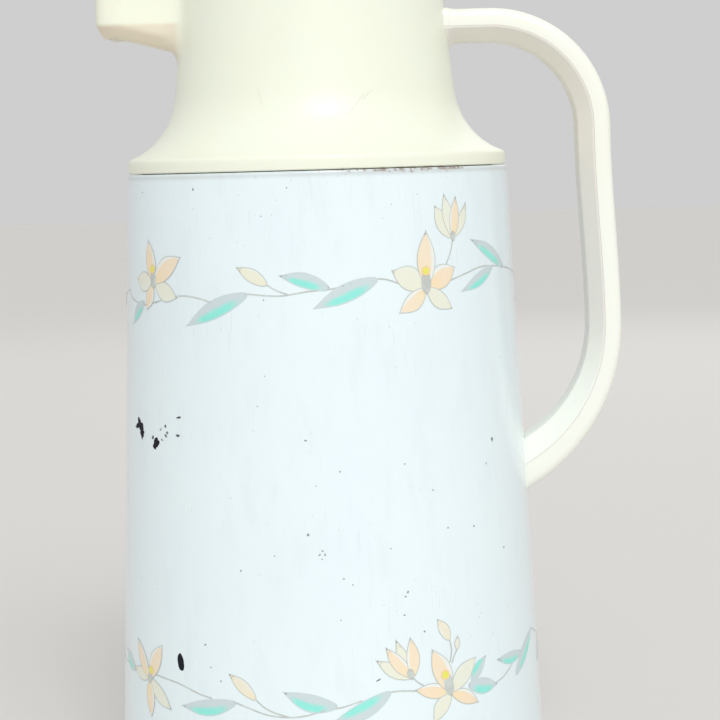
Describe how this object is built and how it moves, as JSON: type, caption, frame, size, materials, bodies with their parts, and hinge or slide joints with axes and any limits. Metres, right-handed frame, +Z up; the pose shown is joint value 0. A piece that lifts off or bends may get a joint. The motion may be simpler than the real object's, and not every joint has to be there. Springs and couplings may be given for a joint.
{
  "type": "pump pot",
  "caption": "Vacuum jug with a tapered steel sleeve, a flared neck with a boxy spout, a side handle and a hinged lid that holds a bellows pump under a push button.",
  "frame": {"origin": "on the pot's own axis, in the plane that the four feet stand on", "axes": "+Z up along the pot's axis, the spout points along -X and the handle along +X, the lid's hinge turns about Y"},
  "size_m": [0.2, 0.1684, 0.352],
  "materials": {
    "sleeve_enamel": "gloss enamel with a printed band of flowers, chipped in places",
    "ivory_plastic": "gloss, a little yellowed",
    "cream_plastic": "gloss, a little yellowed",
    "white_plastic": "satin moulding",
    "bottle_glass": "silvered on the vacuum side",
    "white_rubber": "matte silicone",
    "dark_rubber": "matte",
    "bright_steel": "bright"
  },
  "bodies": {
    "pot": {"body_sleeve": "sleeve_enamel", "shoulder": "ivory_plastic", "spout_cap": "ivory_plastic", "outlet_nozzle": "white_plastic", "outlet_pipe": "white_plastic", "pipe_grommet": "white_rubber", "dip_tube": "bright_steel", "vacuum_bottle": "bottle_glass", "mouth_gasket": "white_rubber", "mouth_collar": "white_plastic", "base_ring": "ivory_plastic", "bottom_cap": "ivory_plastic", "bottle_cushion": "dark_rubber", "foot_pads": "dark_rubber", "handle_outer": "cream_plastic", "handle_inner": "cream_plastic", "handle_screws": "bright_steel", "handle_bracket": "bright_steel", "hinge_pin": "bright_steel"},
    "lid": {"lid_cover": "ivory_plastic", "pump_housing": "white_plastic", "lid_screws": "bright_steel", "stopper_gasket": "white_rubber", "valve_flap": "white_rubber", "bellows": "white_rubber", "pump_spring": "bright_steel"},
    "button": {"push_button": "ivory_plastic", "inlet_valve": "white_rubber"},
    "lock": {"lock_ring": "cream_plastic"},
    "latch": {"lid_latch": "cream_plastic"}
  },
  "joints": [
    {"name": "lid_hinge", "type": "hinge", "parent": "pot", "child": "lid", "pos_m": [0.0555, 0, 0.3285], "axis": [0, 1, 0], "range_deg": [0, 95]},
    {"name": "pump_press", "type": "slide", "parent": "lid", "child": "button", "axis": [0, 0, -1], "range_m": [0, 0.022], "stiffness_N_per_m": 400, "deforming": ["bellows", "pump_spring"]},
    {"name": "lock_turn", "type": "hinge", "parent": "lid", "child": "lock", "pos_m": [0, 0, 0.347], "axis": [0, 0, 1], "range_deg": [0, 30]},
    {"name": "latch_press", "type": "slide", "parent": "lid", "child": "latch", "axis": [1, 0, 0], "range_m": [0, 0.003], "stiffness_N_per_m": 300}
  ]
}
